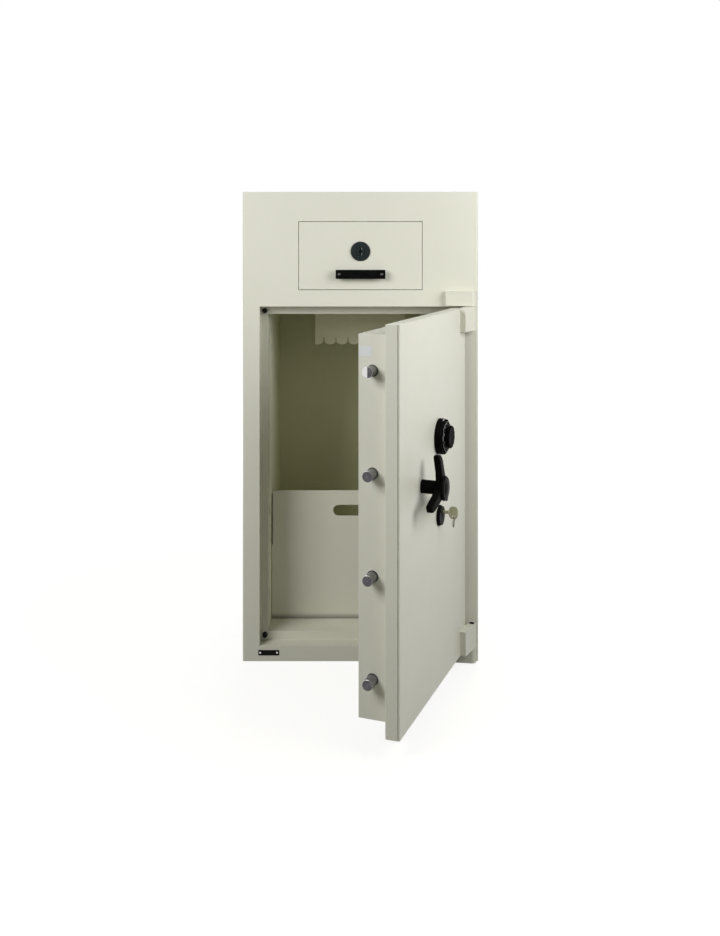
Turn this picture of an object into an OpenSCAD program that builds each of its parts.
// Deposit safe with a pull-out drawer in the head and a boltwork door below it.
// Millimetres. X is the width, Y the depth with the front at -Y, Z is up.
// The origin is the middle of the underside of the base.

/* [Cabinet] */
// Width over the outer side plates
body_w = 600; // [560:1:680]
// Depth from the front face to the back
body_d = 510; // [470:1:620]
// Thickness of the side, back and roof plates
skin_t = 6; // [4:0.5:8]
// Thickness of the base plate
base_t = 8; // [5:0.5:12]
// Thickness of the front plate
fascia_t = 10; // [6:0.5:14]
// Radius of the two upright front edges
edge_r = 5; // [1:0.5:6]
// Thickness of the back wall with its filling
back_wall = 52; // [36:1:70]
// Thickness of the roof with its filling
roof_wall = 44; // [32:1:56]
// Thickness of the lining sheets
lining_t = 3; // [2:0.5:4]
// Thickness of the floor lining
floor_t = 5; // [4:0.5:8]
// Diameter of the four anchor holes
anchor_d = 16; // [10:0.5:20]
// Distance between the anchor holes across the width
anchor_x = 380; // [300:1:420]
// Distance between the anchor holes from front to back
anchor_y = 240; // [150:1:260]
// Distance of the anchor pattern behind the middle of the base
anchor_back = 50; // [44:1:56]

/* [Door opening] */
// Width of the front beside the opening, lock side
jamb_lock = 43; // [38:1:56]
// Width of the front beside the opening, hinge side
jamb_hinge = 35; // [34:1:48]
// Height of the sill below the opening
sill_h = 39; // [39:1:60]
// Height of the door opening
open_h = 864; // [840:1:980]
// Height of the front above the opening
head_h = 292; // [262:1:340]
// Depth of the rebate that the door plate closes into
rebate_d = 43; // [40:0.5:46]
// Thickness of the rebate's flange
flange_t = 6; // [4:0.5:8]
// Thickness of the rebate's reveal
reveal_t = 8; // [5:0.5:10]
// Width of the rebate's flange on the lock side
step_lock = 19; // [17:0.5:21]
// Width of the rebate's flange on the hinge side
step_hinge = 27; // [25:0.5:29]
// Height of the rebate's flange at the sill
step_sill = 21; // [19:0.5:26]
// Height of the rebate's flange at the top
step_top = 22; // [19:0.5:26]
// Width of the upright posts behind the flange
post_w = 37; // [34:0.5:40]
// Depth of the upright posts behind the flange
post_d = 36; // [34:0.5:46]
// Diameter of the rubber bumpers
bumper_d = 13; // [8:0.5:14]

/* [Hinges] */
// Angle at which the door stands open
door_open = 69; // [20:1:100]
// Distance of the hinge axis from the opening's edge
hinge_side = 16.7; // [15:0.1:19]
// Distance of the hinge axis in front of the face
hinge_out = 12; // [11.5:0.1:14]
// Radius of the hinge knuckles
knuckle_r = 11; // [9:0.1:11]
// Diameter of the hinge pins
pin_d = 13; // [8:0.5:14]
// Length of the hinge leaves from the axis
leaf_l = 66; // [50:1:80]
// Thickness of the hinge leaves at their tip
leaf_t = 14; // [10:0.5:16]
// Height of the hinge blocks on the cabinet
block_h = 36.5; // [25:0.5:37.5]
// Height of the hinge leaves on the door
knuckle_h = 60; // [40:1:80]

/* [Door] */
// Thickness of the door plate
door_t = 31.5; // [28:0.5:36]
// Thickness of the door's outer sheet
door_skin_t = 6; // [4:0.5:8]
// Thickness of the sheet that closes the back of the door plate
door_inner_t = 4; // [3:0.5:6]
// Inset of the boltwork box from the free edge
box_inset = 27.5; // [27:0.5:32]
// Depth of the boltwork box behind the door plate
box_d = 69.5; // [62:0.5:71]
// Wall thickness of the boltwork box
box_t = 4; // [2.5:0.5:5]
// Thickness of the boltwork cover
cover_t = 3; // [2:0.5:4]
// Reach of the dead bar on the hinge side
dead_reach = 11; // [8:0.5:12]

/* [Boltwork] */
// Number of locking bolts
bolt_count = 4; // [3:1:5]
// Diameter of the locking bolts
bolt_d = 23.5; // [18:0.5:26]
// Length of a thrown bolt outside the box
bolt_out = 32; // [30:0.5:34]
// Travel of the bolts
bolt_travel = 28; // [20:0.5:29]
// Height of the lowest bolt above the bottom of the door
bolt_first = 107.5; // [80:0.5:120]
// Distance between the bolts
bolt_pitch = 217; // [180:0.5:225]
// Width of the upright bolt bar
bar_w = 25; // [20:0.5:30]
// Thickness of the bolt bar
bar_t = 12; // [8:0.5:14]

/* [Locks] */
// Distance of the dial and the key lock from the hinge axis
lock_off = 250; // [200:1:260]
// Height of the dial above the bottom of the opening
dial_z = 581; // [560:1:640]
// Diameter of the dial ring
ring_d = 82; // [74:0.5:90]
// Diameter of the dial
dial_d = 70; // [60:0.5:72]
// Height of the key lock above the bottom of the opening
key_z = 406.5; // [370:0.5:420]
// Diameter of the key escutcheon
key_plate_d = 48; // [36:0.5:60]
// Diameter of the key's shank
shank_d = 7; // [5:0.5:8]
// Diameter of the wire of the key ring
wire_d = 2; // [1.2:0.1:2.2]
// Outer diameter of the key ring
key_ring_d = 26; // [22:0.5:34]

/* [Handle] */
// Distance of the handle from the hinge axis
handle_off = 382; // [340:1:390]
// Height of the handle above the bottom of the opening
handle_z = 494.5; // [470:0.5:540]
// Diameter of the handle's boss
boss_d = 30; // [26:0.5:38]
// Length of the boss in front of the door
boss_l = 34; // [20:0.5:40]
// Diameter of the handle's spindle
spindle_d = 16; // [12:0.5:18]
// Length of each arm from the axis
arm_l = 71; // [55:1:90]
// Number of arms
arm_count = 3; // [2:1:5]

/* [Drawer] */
// Width of the drawer front
drawer_w = 313.5; // [280:0.5:330]
// Height of the drawer front
drawer_h = 172.5; // [160:0.5:178]
// Distance of the drawer front below the top of the cabinet
drawer_down = 76.5; // [68:0.5:88]
// Thickness of the drawer front
front_t = 12; // [10:0.5:16]
// Length of the tray behind the drawer front
tray_l = 284; // [260:1:300]
// Travel of the drawer
drawer_travel = 190; // [150:1:200]
// Thickness of the tray's sheet
tray_t = 2.5; // [2:0.5:3.5]
// Thickness of the drawer housing's sheet
housing_t = 3; // [2:0.5:4]
// Diameter of the drawer lock's escutcheon
drawer_plate_d = 50; // [40:0.5:60]
// Height of the drawer lock above the middle of the drawer front
lock_up = 11; // [4:0.5:18]
// Distance of the drawer pull below the drawer lock
pull_down = 58; // [48:0.5:64]
// Width of the drawer pull
pull_w = 126; // [100:1:160]
// Height of the drawer pull
pull_h = 23; // [16:0.5:26]
// Distance that the drawer pull stands off the front
pull_off = 16; // [12:0.5:24]
// Width of the comb plate behind the drawer
comb_w = 254; // [200:1:280]
// Length of the comb plate below the drawer housing
comb_drop = 168; // [100:1:200]
// Distance between the notches of the comb
comb_pitch = 34; // [26:1:40]

/* [Retaining panel] */
// Height of the lift-out panel
panel_h = 342; // [300:1:420]
// Thickness of the panel
panel_t = 2.5; // [2:0.5:3.5]
// Distance of the panel behind the front face
panel_y = 133; // [125:1:180]
// Width of the hand slot
slot_w = 144; // [110:1:180]
// Height of the hand slot
slot_h = 29; // [24:0.5:40]

/* [Hidden] */
$fn = 64;

// Clearances, named once
slide_gap = 0.3;      // between faces that slide past each other
run_gap = 0.08;       // radial, round a pin or shaft that turns
door_gap = 2.2;       // round the door plate in its opening
box_gap = 2;          // between the boltwork box and the hinge-side flange
box_gap_z = 4;        // above and below the boltwork box
bumper_gap = 0.5;     // between a bumper and the closed door
bolt_play = 1.4;      // radial, round a bolt in its hole
drawer_gap = 1.3;     // round the drawer front in its opening
knuckle_gap = 1.3;    // between a door leaf and its hinge block
washer_t = 1;         // thickness of a thrust washer
eps = 0.01;           // extra depth of a cut

cream = [0.80, 0.80, 0.74];
cream_inner = [0.66, 0.66, 0.58];
steel = [0.62, 0.63, 0.64];
black = [0.07, 0.07, 0.07];
brass = [0.72, 0.62, 0.38];
filling = [0.56, 0.55, 0.52];

// Cabinet
left_x = -body_w / 2;
right_x = body_w / 2;
front_y = -body_d / 2;
back_y = body_d / 2;
open_l = left_x + jamb_lock;
open_r = right_x - jamb_hinge;
open_b = sill_h;
open_t = sill_h + open_h;
body_h = open_t + head_h;
in_l = open_l + step_lock;
in_r = open_r - step_hinge;
in_b = open_b + step_sill;
in_t = open_t - step_top;
seat_y = front_y + rebate_d;
post_y = seat_y + flange_t;
wall_y = post_y + post_d;
room_back = back_y - back_wall;
room_t = body_h - roof_wall;

// Drawer and its housing
drawer_t = body_h - drawer_down;
drawer_b = drawer_t - drawer_h;
hole_w = drawer_w + 2 * drawer_gap;
hole_b = drawer_b - drawer_gap;
hole_t = drawer_t + drawer_gap;
lock_z = (drawer_b + drawer_t) / 2 + lock_up;
pull_z = lock_z - pull_down;
rail_t = 5.5;
rail_h = 32;
tray_w = hole_w - 4 * rail_t - 2 * slide_gap;
tray_b = drawer_b + 8;
tray_top = drawer_t - 12;
tray_back = front_y + front_t + tray_l;
throat = 92;
housing_back = tray_back + 6;
housing_floor = front_y + drawer_travel;
comb_b = hole_b - housing_t - comb_drop;
comb_t = 3;
comb_up = 60;         // height of the comb plate above the foot of the drawer hole
slit_w = 3;
slit_h = 20;
screw_d = 5;

// Door, in the frame of the hinge axis with the door shut
axis_x = open_r + hinge_side;
axis_y = front_y - hinge_out;
door_free = open_l + door_gap - axis_x;
door_edge = open_r - door_gap - axis_x;
door_b = open_b + door_gap;
door_top = open_t - door_gap;
face = hinge_out;
plate_back = face + door_t;
box_l = door_free + box_inset;
box_r = in_r - box_gap - axis_x;
box_b = in_b + box_gap_z;
box_top = in_t - box_gap_z;
box_back = plate_back + box_d;
bolt_seat = 20.5;
bolt_y = face + rebate_d + flange_t + bolt_seat;
bolt_z = [for (i = [0:bolt_count - 1]) door_b + bolt_first + i * bolt_pitch];
bolt_hole = bolt_d / 2 + bolt_play;
lip_t = 3;
bar_x = box_l + box_t + 13;
bar_front = bolt_y - bar_t / 2;
bar_past = 22;        // length of the bolt bar beyond the end bolts
link_t = 8;
arm_past = 16;        // length of its arm beyond the crank's pin
crank_r = bolt_travel;
crank_t = 8;
crank_back = bar_front - 1.5;
crank_pin_d = 10;
pin_play = 0.8;       // on each side of the crank's pin in its slot
slot_run = 13;        // length of the slot beyond the pin
lock_x = -lock_off;
handle_x = -handle_off;
handle_c = open_b + handle_z;
dial_c = open_b + dial_z;
key_c = open_b + key_z;
link_w = 34;
link_z = handle_c - crank_r * cos(30) * 0.97;
leaf_out = leaf_t - hinge_out;
low_leaf_b = open_b + 2.5;
top_leaf_t = open_t + 1.2;
case_w = 62;
case_h = 84;
case_d = 27;
case_wall = 4;
dial_spindle_d = 8;
bow_n = 24;           // start of the key's bow in front of the door
bow_l = 22;
bow_h = 28;
bow_t = 3;
bow_hole_d = 6;
bow_hole_n = bow_n + 11;
bow_hole_z = -7;
plate_hole_d = 22;    // diameter of the drawer lock's plug

// Plain block between two corners
module block(low, high) {
    translate(low) cube(high - low);
}

// Rounded rectangle about its centre, with true arcs
module round_rect(w, h, r) {
    square([w - 2 * r, h], center = true);
    square([w, h - 2 * r], center = true);
    for (x = [-1, 1], y = [-1, 1])
        translate([x * (w / 2 - r), y * (h / 2 - r)]) circle(r);
}

// Long hole about its centre, lying along X
module long_hole(w, h) {
    square([w - h, h], center = true);
    for (x = [-1, 1]) translate([x * (w - h) / 2, 0]) circle(h / 2);
}

// Footprint of the cabinet, with its two round front edges
module footprint() {
    translate([left_x, front_y + edge_r]) square([body_w, body_d - edge_r]);
    translate([left_x + edge_r, front_y]) square([body_w - 2 * edge_r, edge_r]);
    for (x = [left_x + edge_r, right_x - edge_r])
        translate([x, front_y + edge_r]) circle(edge_r);
}

// Places what is drawn round the hinge axis at the door's angle
module on_door() {
    translate([axis_x, axis_y, 0]) rotate([0, 0, door_open]) children();
}

// Turns a cylinder drawn along Z so that it runs from y to y + h
module along_y(x, y, z) {
    translate([x, y, z]) rotate([-90, 0, 0]) children();
}

// Anchor holes through everything under the room
module anchor_holes() {
    for (x = [-1, 1], y = [-1, 1])
        translate([x * anchor_x / 2, anchor_back + y * anchor_y / 2, -eps])
            cylinder(d = anchor_d, h = in_b + 2 * eps);
}

module side_plate(x) {
    translate([0, 0, base_t]) linear_extrude(body_h - base_t - skin_t)
        intersection() {
            footprint();
            translate([x, front_y]) square([skin_t, body_d]);
        }
}

module left_side_plate() {
    color(cream) side_plate(left_x);
}

module right_side_plate() {
    color(cream) side_plate(right_x - skin_t);
}

module roof_plate() {
    color(cream) translate([0, 0, body_h - skin_t]) linear_extrude(skin_t) footprint();
}

module base_plate() {
    color(cream) difference() {
        linear_extrude(base_t) footprint();
        anchor_holes();
    }
}

module back_plate() {
    color(cream) block([left_x + skin_t, back_y - skin_t, base_t],
        [right_x - skin_t, back_y, body_h - skin_t]);
}

module front_plate() {
    color(cream) difference() {
        block([left_x + skin_t, front_y, base_t],
            [right_x - skin_t, front_y + fascia_t, body_h - skin_t]);
        block([open_l, front_y - eps, open_b], [open_r, front_y + fascia_t + eps, open_t]);
        block([-hole_w / 2, front_y - eps, hole_b], [hole_w / 2, front_y + fascia_t + eps, hole_t]);
    }
}

module rebate_frame() {
    color(cream) difference() {
        block([open_l - reveal_t, front_y + fascia_t, open_b - reveal_t],
            [open_r + reveal_t, post_y, open_t + reveal_t]);
        block([open_l, front_y, open_b], [open_r, seat_y, open_t]);
        block([in_l, front_y, in_b], [in_r, post_y + eps, in_t]);
    }
}

// Post on the lock side, drilled for the bolts
module bolt_keeper_post() {
    color(cream) difference() {
        block([in_l - post_w, post_y, in_b - floor_t], [in_l, wall_y, room_t + lining_t]);
        for (z = bolt_z)
            translate([in_l - post_w - eps, axis_y + bolt_y, z]) rotate([0, 90, 0])
                cylinder(r = bolt_hole, h = post_w + 2 * eps);
    }
}

// Post on the hinge side, grooved for the dead bar
module dead_bar_post() {
    color(cream) difference() {
        block([in_r, post_y, in_b - floor_t], [in_r + post_w, wall_y, room_t + lining_t]);
        block([in_r - eps, post_y + 5, in_b - floor_t - eps],
            [in_r + dead_reach + 8, wall_y - 5, room_t + lining_t + eps]);
    }
}

// Poured filling between the outer plates and the linings
module barrier_fill() {
    color(filling) difference() {
        block([left_x + skin_t, front_y + fascia_t, base_t],
            [right_x - skin_t, back_y - skin_t, body_h - skin_t]);
        block([in_l - lining_t, wall_y, in_b - floor_t],
            [in_r + lining_t, room_back + lining_t, room_t + lining_t]);
        block([open_l - reveal_t, front_y, open_b - reveal_t],
            [open_r + reveal_t, post_y, open_t + reveal_t]);
        block([in_l - post_w, post_y - eps, in_b - floor_t],
            [in_r + post_w, wall_y + eps, room_t + lining_t]);
        block([-hole_w / 2 - housing_t, front_y, hole_b - housing_t],
            [hole_w / 2 + housing_t, wall_y, hole_t + housing_t]);
        anchor_holes();
    }
}

module side_linings() {
    color(cream_inner) {
        block([in_l - lining_t, wall_y, in_b], [in_l, room_back, room_t]);
        block([in_r, wall_y, in_b], [in_r + lining_t, room_back, room_t]);
    }
}

module back_lining() {
    color(cream_inner) block([in_l - lining_t, room_back, in_b - floor_t],
        [in_r + lining_t, room_back + lining_t, room_t + lining_t]);
}

// Plan of the floor and roof linings, which fill in between the posts
module room_plan() {
    translate([in_l, post_y]) square([in_r - in_l, post_d]);
    translate([in_l - lining_t, wall_y])
        square([in_r - in_l + 2 * lining_t, room_back - wall_y]);
}

module floor_lining() {
    color(cream_inner) difference() {
        translate([0, 0, in_b - floor_t]) linear_extrude(floor_t) room_plan();
        for (x = [-1, 1])
            translate([x * tab_x, front_y + panel_y + panel_t / 2, in_b])
                cube([tab_w + 2, panel_t + 1, 2 * tab_h + 1], center = true);
        anchor_holes();
    }
}

module roof_lining() {
    color(cream_inner) translate([0, 0, room_t]) linear_extrude(lining_t) room_plan();
}

// Sheet behind the front of the head, with the hole for the drawer housing
module head_lining() {
    color(cream_inner) difference() {
        block([in_l, post_y, open_t + 2], [in_r, post_y + lining_t, room_t]);
        block([-hole_w / 2 - housing_t, front_y, hole_b - housing_t],
            [hole_w / 2 + housing_t, wall_y, hole_t + housing_t]);
    }
}

// Sleeve behind the drawer hole: its floor stops short, so that deposits drop behind it
module drawer_housing() {
    half = hole_w / 2;
    color(cream_inner) {
        difference() {
            block([-half - housing_t, front_y + fascia_t, hole_b - housing_t],
                [half + housing_t, housing_back + housing_t, hole_t + housing_t]);
            block([-half, front_y, hole_b], [half, housing_back, hole_t]);
            block([-half, housing_floor, hole_b - housing_t - eps], [half, housing_back, hole_b + eps]);
            comb_screw_places() translate([0, 0, -eps])
                cylinder(d = screw_d, h = housing_t + 2 * eps);
        }
    }
}

// Pair of rails, one each side, between the given distances from the middle
module rail_pair(inner, outer, from_y, to_y, h) {
    mid = (tray_b + tray_top) / 2;
    for (side = [0, 1]) mirror([side, 0, 0])
        block([inner, from_y, mid - h / 2], [outer, to_y, mid + h / 2]);
}

module fixed_rails() {
    color(steel) rail_pair(hole_w / 2 - rail_t, hole_w / 2, front_y + front_t + 4,
        housing_back - 4, rail_h);
}

// Hook under the housing's top that the drawer lock's cam turns behind
module drawer_lock_keeper() {
    color(steel) {
        block([-15, cam_y - 6 - keeper_gap, cam_top - 7], [15, cam_y - keeper_gap, hole_t]);
    }
}

// Plate that stops a hand or a hook reaching down from the drawer: its lower edge has round
// lobes with a slit between each two
module comb_plate() {
    slits = 2 * floor((comb_w / 2 - 12) / comb_pitch) + 1;
    lobe_r = comb_pitch * 0.55;
    lobe_z = comb_b + lobe_r;
    color(cream_inner) difference() {
        along_y(0, housing_back + housing_t, 0) linear_extrude(comb_t) difference() {
            intersection() {
                translate([-comb_w / 2, -hole_b - comb_up])
                    square([comb_w, hole_b + comb_up - comb_b]);
                union() {
                    translate([-comb_w / 2, -hole_b - comb_up])
                        square([comb_w, hole_b + comb_up - lobe_z]);
                    for (i = [-1:slits - 1])
                        translate([(i + 1 - slits / 2) * comb_pitch, -lobe_z]) circle(lobe_r);
                }
            }
            for (i = [0:slits - 1])
                translate([(i - (slits - 1) / 2) * comb_pitch - slit_w / 2, -comb_b - slit_h])
                    square([slit_w, slit_h + 1]);
        }
        comb_screw_places() translate([0, 0, housing_t - eps])
            cylinder(d = screw_d, h = comb_t + 2 * eps);
    }
}

// Screws that hold the comb plate, from the inner face of the housing's back
module comb_screw_places() {
    for (x = [-1, 0, 1]) along_y(x * (comb_w / 2 - 25), housing_back, hole_b + comb_up - 20)
        children();
}

module comb_screws() {
    color(steel) comb_screw_places() {
        cylinder(d = screw_d, h = housing_t + comb_t);
        translate([0, 0, housing_t + comb_t]) cylinder(d = 10, h = 2.5);
    }
}

// Hinge leaf of a given height: a knuckle with a bar that thins towards its tip
module leaf(h, seat_end) {
    reach = sqrt(leaf_l * leaf_l + leaf_out * leaf_out);
    tip = atan2(-leaf_out, -leaf_l);
    touch = tip + acos(knuckle_r / reach);
    inside = knuckle_r - 0.2;
    cylinder(r = knuckle_r, h = h);
    linear_extrude(h) polygon([
        [inside * cos(touch), inside * sin(touch)],
        [-leaf_l, -leaf_out],
        [-leaf_l, hinge_out],
        [seat_end, hinge_out],
        [seat_end, inside],
        [-1, inside]
    ]);
}

// Hinge block on the cabinet, drilled for its pin
module hinge_block(z) {
    translate([axis_x, axis_y, z]) difference() {
        leaf(block_h, 0);
        translate([0, 0, -eps]) cylinder(d = pin_d, h = block_h + 2 * eps);
    }
}

top_block_z = top_leaf_t + knuckle_gap;
low_block_z = low_leaf_b - knuckle_gap - block_h;

module upper_hinge_block() {
    color(cream) hinge_block(top_block_z);
}

module lower_hinge_block() {
    color(cream) hinge_block(low_block_z);
}

module hinge_pins() {
    color(steel) {
        translate([axis_x, axis_y, top_leaf_t - knuckle_h + 8])
            cylinder(d = pin_d, h = knuckle_h - 8 + knuckle_gap + block_h - 3);
        translate([axis_x, axis_y, low_block_z + 3])
            cylinder(d = pin_d, h = block_h - 3 + knuckle_gap + knuckle_h - 8);
    }
}

module washer() {
    difference() {
        cylinder(r = knuckle_r - 0.5, h = washer_t);
        translate([0, 0, -eps]) cylinder(r = pin_d / 2 + run_gap, h = washer_t + 2 * eps);
    }
}

module thrust_washers() {
    color(brass) {
        translate([axis_x, axis_y, low_block_z + block_h]) washer();
        translate([axis_x, axis_y, top_block_z - washer_t]) washer();
    }
}

module door_bumpers() {
    h = rebate_d - door_t - bumper_gap;
    color(black) for (z = [open_b + step_sill / 2 + 3, open_t - step_top / 2 - 3])
        along_y(open_l + step_lock / 2 + 1, seat_y - h, z) {
            cylinder(d = bumper_d, h = h);
        }
}

plate_x = open_l - 3;
plate_w = 53;
plate_h = 13;
plate_z = 15.5;

module nameplate() {
    color(black) difference() {
        translate([plate_x + plate_w / 2, front_y, plate_z + plate_h / 2]) rotate([90, 0, 0])
            linear_extrude(1.2) round_rect(plate_w, plate_h, 2);
        for (x = [5, plate_w - 5]) along_y(plate_x + x, front_y - 1.2 - eps, plate_z + plate_h / 2)
            cylinder(d = 3, h = 1.2 + 2 * eps);
    }
}

module nameplate_rivets() {
    color(steel) for (x = [5, plate_w - 5])
        along_y(plate_x + x, front_y - 1.2, plate_z + plate_h / 2) {
            cylinder(d = 3, h = 1.2);
            translate([0, 0, -0.8]) cylinder(d = 4.4, h = 0.8);
        }
}

tab_x = 130;
tab_w = 40;
tab_h = 4;
bracket_h = 193;
bracket_t = 3;
bracket_leg = 24;

// Angles behind the panel's edges, on the side linings
module panel_brackets() {
    y = front_y + panel_y + panel_t + slide_gap;
    color(cream_inner) for (side = [0, 1]) {
        x = side == 0 ? in_l : in_r - bracket_t;
        inner = side == 0 ? in_l : in_r - bracket_leg;
        block([x, y, in_b], [x + bracket_t, y + bracket_leg, in_b + bracket_h]);
        block([inner, y, in_b], [inner + bracket_leg, y + bracket_t, in_b + bracket_h]);
    }
}

// Lift-out sheet that holds the deposits back when the door is opened
module retaining_panel() {
    w = in_r - in_l - 4;
    r = 13;
    mid = (in_l + in_r) / 2;
    color(cream) difference() {
        translate([mid, front_y + panel_y + panel_t, in_b]) rotate([90, 0, 0])
            linear_extrude(panel_t) difference() {
                union() {
                    translate([-w / 2, 0]) square([w, panel_h - r]);
                    translate([-w / 2 + r, 0]) square([w - 2 * r, panel_h]);
                    for (x = [-1, 1]) translate([x * (w / 2 - r), panel_h - r]) circle(r);
                    for (x = [-1, 1]) translate([x * tab_x - tab_w / 2 - mid, -tab_h])
                        square([tab_w, tab_h + 1]);
                }
                translate([0, panel_h - 53]) long_hole(slot_w, slot_h);
            }
    }
}

// Outer sheet of the door, folded back round all four edges
module door_skin() {
    color(cream) on_door() difference() {
        block([door_free, face, door_b], [door_edge, plate_back - door_inner_t, door_top]);
        block([door_free + door_skin_t, face + door_skin_t, door_b + door_skin_t],
            [door_edge - door_skin_t, plate_back, door_top - door_skin_t]);
        door_bores(face - eps, door_skin_t + 2 * eps);
    }
}

// Bores for the spindles and the key through one layer of the door
module door_bores(y, h) {
    along_y(handle_x, y, handle_c) cylinder(r = spindle_d / 2 + run_gap, h = h);
    along_y(lock_x, y, dial_c) cylinder(r = dial_spindle_d / 2 + run_gap, h = h);
    along_y(lock_x, y, key_c) cylinder(r = shank_d / 2 + slide_gap, h = h);
}

hard_t = 6;
hard_past_x = 9;      // reach of the hard plate past the lock cases, sideways
hard_past_z = 3;      // the same, up and down

module door_fill() {
    y = face + door_skin_t;
    h = door_t - door_skin_t - door_inner_t;
    color(filling) on_door() difference() {
        block([door_free + door_skin_t, y, door_b + door_skin_t],
            [door_edge - door_skin_t, y + h, door_top - door_skin_t]);
        hard_block();
        door_bores(y - eps, h + 2 * eps);
    }
}

module hard_block() {
    side = case_w / 2 + hard_past_x;
    past = case_h / 2 + hard_past_z;
    block([lock_x - side, face + door_skin_t, key_c - past],
        [lock_x + side, face + door_skin_t + hard_t, dial_c + past]);
}

module hard_plate() {
    color(steel) on_door() difference() {
        hard_block();
        door_bores(face + door_skin_t - eps, hard_t + 2 * eps);
    }
}

module door_inner_plate() {
    y = plate_back - door_inner_t;
    color(cream) on_door() difference() {
        block([door_free, y, door_b], [door_edge, plate_back, door_top]);
        door_bores(y - eps, door_inner_t + 2 * eps);
    }
}

// Hinge leaf on the door, drilled to run on its pin
module door_leaf(z) {
    translate([0, 0, z]) difference() {
        leaf(knuckle_h, door_edge);
        translate([0, 0, -eps]) cylinder(r = pin_d / 2 + run_gap, h = knuckle_h + 2 * eps);
    }
}

module upper_knuckle() {
    color(cream) on_door() door_leaf(top_leaf_t - knuckle_h);
}

module lower_knuckle() {
    color(cream) on_door() door_leaf(low_leaf_b);
}

// Four walls of the boltwork box, with the bolt holes in the free side and, under the
// cover, a lip down each long side for its screws
module bolt_box() {
    lip = cover_in_x + 10;
    lip_y = box_back - cover_t - lip_t;
    color(cream) on_door() difference() {
        block([box_l, plate_back, box_b], [box_r, box_back - cover_t, box_top]);
        block([box_l + box_t, plate_back - eps, box_b + box_t],
            [box_r - box_t, lip_y, box_top - box_t]);
        block([box_l + box_t + lip, lip_y - eps, box_b + box_t],
            [box_r - box_t - lip, box_back, box_top - box_t]);
        for (z = bolt_z) translate([box_l - eps, bolt_y, z]) rotate([0, 90, 0])
            cylinder(r = bolt_hole, h = box_t + 2 * eps);
        cover_screw_places() translate([0, 0, -lip_t - eps])
            cylinder(d = screw_d, h = lip_t + 2 * eps);
    }
}

cover_in_x = 14;      // distance of the cover's screws from its long edges
cover_in_z = 30;      // distance of the end screws from its short edges
cover_rows = 4;

module cover_screw_places() {
    step = (box_top - box_b - 2 * cover_in_z) / (cover_rows - 1);
    for (x = [box_l + cover_in_x, box_r - cover_in_x],
            z = [for (i = [0:cover_rows - 1]) box_b + cover_in_z + i * step])
        along_y(x, box_back - cover_t, z) children();
}

module bolt_box_cover() {
    color(cream) on_door() difference() {
        block([box_l, box_back - cover_t, box_b], [box_r, box_back, box_top]);
        cover_screw_places() translate([0, 0, -eps]) cylinder(d = screw_d, h = cover_t + 2 * eps);
    }
}

module cover_screws() {
    color(steel) on_door() cover_screw_places() {
        translate([0, 0, -lip_t]) cylinder(d = screw_d, h = lip_t + cover_t);
        translate([0, 0, cover_t]) cylinder(d = 9.5, h = 2);
    }
}

dead_t = 15;
dead_in = 60;         // distance of the dead bar's ends from those of the box

// Fixed bar on the hinge side of the box
module dead_bar() {
    y = bolt_y - 8;
    color(steel) on_door()
        block([box_r, y, box_b + dead_in], [box_r + dead_reach, y + dead_t, box_top - dead_in]);
}

guide_h = 22;
guide_wall = 6;

module bar_guides() {
    x0 = bar_x - 5;
    x1 = bar_x + bar_w + bolt_travel + 2;
    color(steel) on_door() for (i = [0, bolt_count - 2]) {
        z = (bolt_z[i] + bolt_z[i + 1]) / 2;
        difference() {
            block([x0 - guide_wall, plate_back, z - guide_h / 2],
                [x1 + guide_wall, bar_front + bar_t + slide_gap + guide_wall, z + guide_h / 2]);
            block([x0, bar_front - slide_gap, z - guide_h],
                [x1, bar_front + bar_t + slide_gap, z + guide_h]);
        }
    }
}

ring_t = 16;
ring_floor = 3;
ring_edge = 1.5;
notch_w = 38.5;
notch_depth = 5.4;
notch_up = 28;        // height of the notch's foot above the dial's centre
dial_past = 5;        // reach of the dial out of its ring
dial_t = ring_t - ring_floor - slide_gap + dial_past;
dial_edge = 3;
knob_d = 52;
knob_t = 6.5;
neck_d = 44;
neck_t = 3.5;
flutes = 12;
flute_r = 4;

// Fixed ring round the dial, cut down at the top where the dial is read
module dial_ring() {
    color(black) on_door() difference() {
        union() {
            along_y(lock_x, face - ring_t, dial_c)
                cylinder(d1 = ring_d - 2 * ring_edge, d2 = ring_d, h = ring_edge);
            along_y(lock_x, face - ring_t + ring_edge, dial_c)
                cylinder(d = ring_d, h = ring_t - ring_edge);
        }
        along_y(lock_x, face - ring_t - eps, dial_c)
            cylinder(d = dial_d + 1, h = ring_t - ring_floor);
        along_y(lock_x, face - ring_t, dial_c) cylinder(r = dial_spindle_d / 2 + run_gap,
            h = 2 * ring_t);
        block([lock_x - notch_w / 2, face - ring_t - eps, dial_c + notch_up],
            [lock_x + notch_w / 2, face - ring_t + notch_depth, dial_c + ring_d]);
    }
}

module handle_boss() {
    color(black) on_door() difference() {
        along_y(handle_x, face - boss_l, handle_c) cylinder(d = boss_d, h = boss_l);
        along_y(handle_x, face - boss_l - eps, handle_c) cylinder(r = spindle_d / 2 + run_gap,
            h = boss_l + 2 * eps);
    }
}

key_plate_t = 8;
key_up = 9;           // height of the keyhole above the middle of its escutcheon

module key_escutcheon() {
    color(black) on_door() difference() {
        along_y(lock_x, face - key_plate_t, key_c - key_up)
            cylinder(d1 = key_plate_d - 5, d2 = key_plate_d, h = key_plate_t);
        along_y(lock_x, face - key_plate_t - eps, key_c) cylinder(r = shank_d / 2 + slide_gap,
            h = key_plate_t + 2 * eps);
        block([lock_x - 1.8, face - key_plate_t - eps, key_c - 12],
            [lock_x + 1.8, face + eps, key_c]);
    }
}

// Case of a lock on the back of the door plate
module lock_case(z) {
    block([lock_x - case_w / 2, plate_back, z - case_h / 2],
        [lock_x + case_w / 2, plate_back + case_d, z + case_h / 2]);
}

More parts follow.
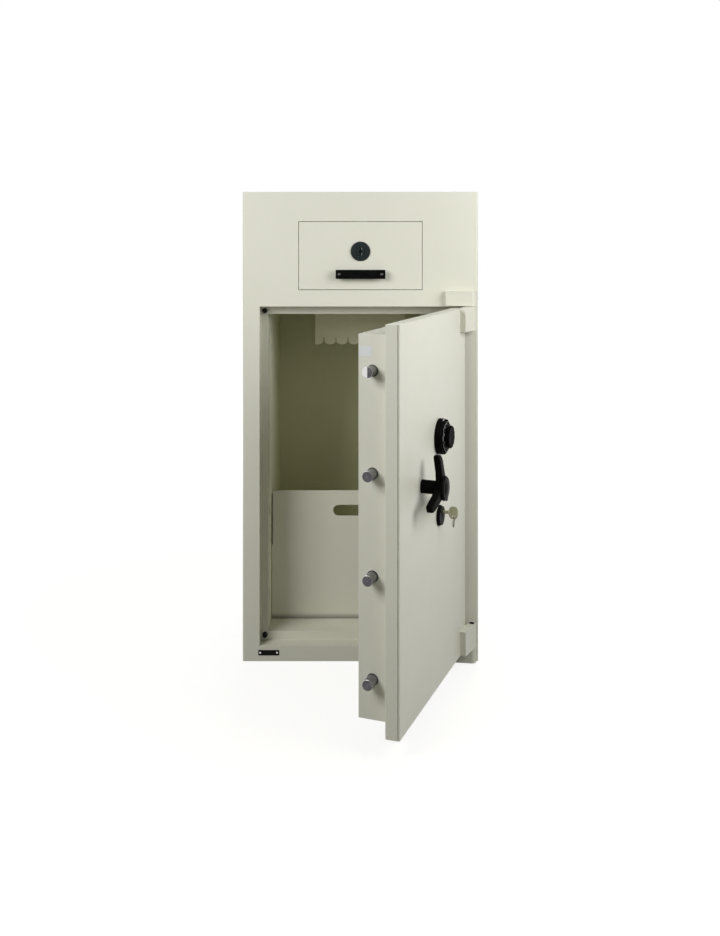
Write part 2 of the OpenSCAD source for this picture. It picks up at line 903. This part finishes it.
module lock_room(z) {
    block([lock_x - case_w / 2 + case_wall, plate_back + case_wall, z - case_h / 2 + case_wall],
        [lock_x + case_w / 2 - case_wall, plate_back + case_d - case_wall,
            z + case_h / 2 - case_wall]);
}

module combination_lock_case() {
    color(steel) on_door() difference() {
        lock_case(dial_c);
        lock_room(dial_c);
        along_y(lock_x, plate_back - eps, dial_c) cylinder(r = dial_spindle_d / 2 + run_gap,
            h = case_wall + 2 * eps);
    }
}

bolt_slot_h = 18;
lock_bolt_t = 8;

module key_lock_case() {
    y = plate_back + case_d / 2;
    color(steel) on_door() difference() {
        lock_case(key_c);
        lock_room(key_c);
        along_y(lock_x, plate_back - eps, key_c) cylinder(r = shank_d / 2 + slide_gap,
            h = case_wall + 2 * eps);
        block([lock_x - case_w / 2 - eps, y - lock_bolt_t / 2 - slide_gap,
                key_c + 20 - bolt_slot_h / 2 - slide_gap],
            [lock_x, y + lock_bolt_t / 2 + slide_gap, key_c + 20 + bolt_slot_h / 2 + slide_gap]);
    }
}

// Bolt of the key lock, which the key draws back
module key_lock_bolt() {
    y = plate_back + case_d / 2;
    color(brass) on_door()
        block([lock_x - case_w / 2 - 12, y - lock_bolt_t / 2, key_c + 20 - bolt_slot_h / 2],
            [lock_x + case_w / 2 - case_wall - 12, y + lock_bolt_t / 2,
                key_c + 20 + bolt_slot_h / 2]);
}

module locking_bolts() {
    color(steel) on_door() for (z = bolt_z)
        translate([box_l - bolt_out, bolt_y, z]) rotate([0, 90, 0]) {
            cylinder(d1 = bolt_d - 4, d2 = bolt_d, h = 2);
            translate([0, 0, 2]) cylinder(d = bolt_d, h = bar_x - box_l + bolt_out - 2);
        }
}

// Upright bar that carries the bolts, with the arm that the crank moves
module bolt_bar() {
    last = bolt_z[bolt_count - 1];
    pin_x = handle_x - crank_r * sin(30);
    color(steel) on_door() difference() {
        union() {
            block([bar_x, bar_front, bolt_z[0] - bar_past],
                [bar_x + bar_w, bar_front + bar_t, last + bar_past]);
            block([bar_x, bar_front, link_z - link_w / 2],
                [pin_x + arm_past, bar_front + link_t, link_z + link_w / 2]);
        }
        translate([pin_x, bar_front - eps, link_z])
            rotate([-90, 0, 0]) linear_extrude(link_t + 2 * eps) rotate(90)
                long_hole(crank_pin_d + slot_run, crank_pin_d + 2 * pin_play);
    }
}

hub_r = 27;
arm_sweep = 6.3;      // how far the arms' tips lean back to the door
arm_tip_t = 12;

// Outline of one arm seen from the front, pointing up
module arm_front() {
    polygon([[-13, 0], [-8, arm_l - 4], [-5, arm_l], [5, arm_l], [8, arm_l - 4], [13, 0]]);
}

// Outline of one arm seen from the side: out along X, up along Y
module arm_side() {
    polygon([[0, 0], [0, 18], [-1.3, arm_l - 34], [-arm_sweep, arm_l],
        [arm_tip_t - arm_sweep, arm_l], [9.5, arm_l - 11], [19, 0]]);
}

// Hub and arms of the handle, cast in one
module spoke_handle() {
    color(black) on_door() translate([handle_x, face - boss_l - slide_gap, handle_c]) {
        for (i = [0:arm_count - 1]) rotate([0, i * 360 / arm_count, 0]) intersection() {
            translate([0, arm_sweep + eps, 0]) rotate([90, 0, 0]) linear_extrude(40) arm_front();
            translate([-20, 0, 0]) rotate([90, 0, 90]) linear_extrude(40) mirror([1, 0])
                arm_side();
        }
        rotate([90, 0, 0]) rotate_extrude() polygon([[0, 0], [15, 0], [17, 4], [17, 10],
            [hub_r, 15], [hub_r, 19], [hub_r - 3, 22], [8, 24.5], [0, 25]]);
    }
}

// Spindle from the handle's hub to the crank inside the box, with the crank and its pin
module handle_spindle() {
    color(steel) on_door() {
        along_y(handle_x, face - boss_l - slide_gap, handle_c)
            cylinder(d = spindle_d, h = boss_l + slide_gap - face + crank_back);
        along_y(handle_x, crank_back - crank_t, handle_c)
            cylinder(r = crank_r + 11, h = crank_t);
        along_y(handle_x - crank_r * sin(30), crank_back - eps, handle_c - crank_r * cos(30))
            cylinder(d = crank_pin_d, h = bar_front + link_t - crank_back);
    }
}

// Dial with its fluted knob, on a spindle into the lock
module dial() {
    y = face - ring_floor - slide_gap;
    knob_front = y - dial_t - neck_t - knob_t;
    color(black) on_door() translate([lock_x, 0, dial_c]) {
        along_y(0, knob_front, 0) difference() {
            union() {
                cylinder(d1 = knob_d - 3, d2 = knob_d, h = 1.5);
                translate([0, 0, 1.5]) cylinder(d = knob_d, h = knob_t - 1.5);
            }
            for (i = [0:flutes - 1]) rotate(i * 360 / flutes)
                translate([knob_d / 2 + flute_r * 0.55, 0, -eps])
                    cylinder(r = flute_r, h = knob_t + 2 * eps, $fn = 24);
        }
        along_y(0, knob_front + knob_t, 0) {
            cylinder(d = neck_d, h = neck_t);
            translate([0, 0, neck_t])
                cylinder(d1 = dial_d - 2 * dial_edge, d2 = dial_d, h = dial_edge);
            translate([0, 0, neck_t + dial_edge]) cylinder(d = dial_d, h = dial_t - dial_edge);
        }
        along_y(0, y, 0)
            cylinder(d = dial_spindle_d, h = plate_back + case_d - case_wall - y);
    }
}

// Wheels on the dial's spindle inside the lock case
module wheel_pack() {
    color(brass) on_door() for (i = [0:3])
        along_y(lock_x, plate_back + case_wall + 1 + i * 4.5, dial_c) difference() {
            cylinder(r = case_w / 2 - case_wall - 3, h = 3);
            translate([0, 0, -eps]) cylinder(d = dial_spindle_d, h = 3 + 2 * eps);
            rotate(i * 70) translate([0, case_w / 2 - case_wall - 5, 1.5])
                cube([5, 8, 4], center = true);
        }
}

// Key standing in the lock: shank, bit and bow
module key() {
    inner = plate_back + case_d - case_wall - 2;
    color(brass) on_door() translate([lock_x, 0, key_c]) {
        along_y(0, face - bow_n - 2, 0) cylinder(d = shank_d, h = inner - face + bow_n + 2);
        block([-1.25, plate_back + case_wall + 3, -15], [1.25, inner - 2, 0]);
        translate([-bow_t / 2, face - bow_n, 0]) rotate([0, 90, 0]) linear_extrude(bow_t)
            difference() {
                translate([0, -bow_l / 2]) round_rect(bow_h, bow_l, 6);
                translate([-bow_hole_z, bow_n - bow_hole_n]) circle(d = bow_hole_d);
            }
    }
}

// Ring that hangs in the bow
module key_ring() {
    wire_z = bow_hole_z - bow_hole_d / 2 + wire_d / 2 + 0.2;
    ring_r = (key_ring_d - wire_d) / 2;
    color(steel) on_door() translate([lock_x, face - bow_hole_n, key_c + wire_z - ring_r])
        rotate([90, 0, 0]) rotate_extrude() translate([ring_r, 0]) circle(d = wire_d, $fn = 24);
}

module drawer_front() {
    color(cream) difference() {
        block([-drawer_w / 2, front_y, drawer_b], [drawer_w / 2, front_y + front_t, drawer_t]);
        along_y(0, front_y - eps, lock_z) cylinder(r = plate_hole_d / 2 + run_gap,
            h = front_t + 2 * eps);
    }
}

// Tray with a sloping floor and a tall back: deposits slide off the floor's back edge
module drawer_tray() {
    y = front_y + front_t;
    half = tray_w / 2;
    floor_l = tray_l - throat;
    color(steel) {
        for (side = [0, 1]) mirror([side, 0, 0])
            block([half - tray_t, y, tray_b], [half, tray_back, tray_top]);
        block([-half + tray_t, tray_back - tray_t, tray_b], [half - tray_t, tray_back, tray_top]);
        translate([-half + tray_t, y, tray_b]) rotate([90, 0, 90])
            linear_extrude(2 * half - 2 * tray_t)
                polygon([[0, 22], [floor_l, 2], [floor_l, 2 + tray_t], [0, 22 + tray_t]]);
        difference() {
            block([-half + tray_t, y, tray_b], [half - tray_t, y + tray_t, tray_top]);
            along_y(0, y - eps, lock_z) cylinder(d = plate_hole_d + 2, h = tray_t + 2 * eps);
        }
    }
}

module moving_rails() {
    color(steel) rail_pair(tray_w / 2, tray_w / 2 + rail_t, front_y + front_t + 2,
        tray_back - 2, rail_h - 8);
}

// Pull bar, bent back to the front at both ends
module drawer_pull() {
    foot_t = 10;
    color(black) {
        block([-pull_w / 2, front_y - pull_off, pull_z - pull_h / 2],
            [pull_w / 2, front_y - pull_off + 4, pull_z + pull_h / 2]);
        for (x = [-1, 1])
            along_y(x * (pull_w / 2 - 9), front_y - pull_off + 4, pull_z)
                cylinder(d = foot_t, h = pull_off - 4);
        for (x = [-1, 1])
            along_y(x * (pull_w / 2 - 9), front_y - pull_off - 1.6, pull_z)
                cylinder(d1 = 5, d2 = 7.5, h = 1.6);
    }
}

module drawer_escutcheon() {
    color(black) difference() {
        along_y(0, front_y - 4, lock_z) cylinder(d1 = drawer_plate_d - 4, d2 = drawer_plate_d, h = 4);
        along_y(0, front_y - 4 - eps, lock_z) cylinder(r = plate_hole_d / 2 + run_gap,
            h = 4 + 2 * eps);
    }
}

cam_y = front_y + front_t + 14;
cam_t = 4;
cam_l = 58;
cam_top = lock_z + cam_l;
keeper_gap = 0.6;

// Plug with its keyhole and, behind the front, the cam that locks the drawer
module drawer_lock_plug() {
    color(black) difference() {
        union() {
            along_y(0, front_y - 4.5, lock_z) cylinder(d = plate_hole_d, h = cam_y - front_y + 4.5);
            block([-9, cam_y, lock_z - 9], [cam_l, cam_y + cam_t, lock_z + 9]);
        }
        translate([0, front_y - 4.5, lock_z]) cube([2.4, 20, 9], center = true);
    }
}

left_side_plate();
right_side_plate();
roof_plate();
base_plate();
back_plate();
front_plate();
rebate_frame();
bolt_keeper_post();
dead_bar_post();
barrier_fill();
side_linings();
back_lining();
floor_lining();
roof_lining();
head_lining();
drawer_housing();
fixed_rails();
drawer_lock_keeper();
comb_plate();
comb_screws();
upper_hinge_block();
lower_hinge_block();
hinge_pins();
thrust_washers();
door_bumpers();
nameplate();
nameplate_rivets();
panel_brackets();
retaining_panel();
door_skin();
door_fill();
hard_plate();
door_inner_plate();
upper_knuckle();
lower_knuckle();
bolt_box();
bolt_box_cover();
cover_screws();
dead_bar();
bar_guides();
dial_ring();
handle_boss();
key_escutcheon();
combination_lock_case();
key_lock_case();
locking_bolts();
bolt_bar();
spoke_handle();
handle_spindle();
dial();
wheel_pack();
key();
key_ring();
key_lock_bolt();
drawer_front();
drawer_tray();
moving_rails();
drawer_pull();
drawer_escutcheon();
drawer_lock_plug();
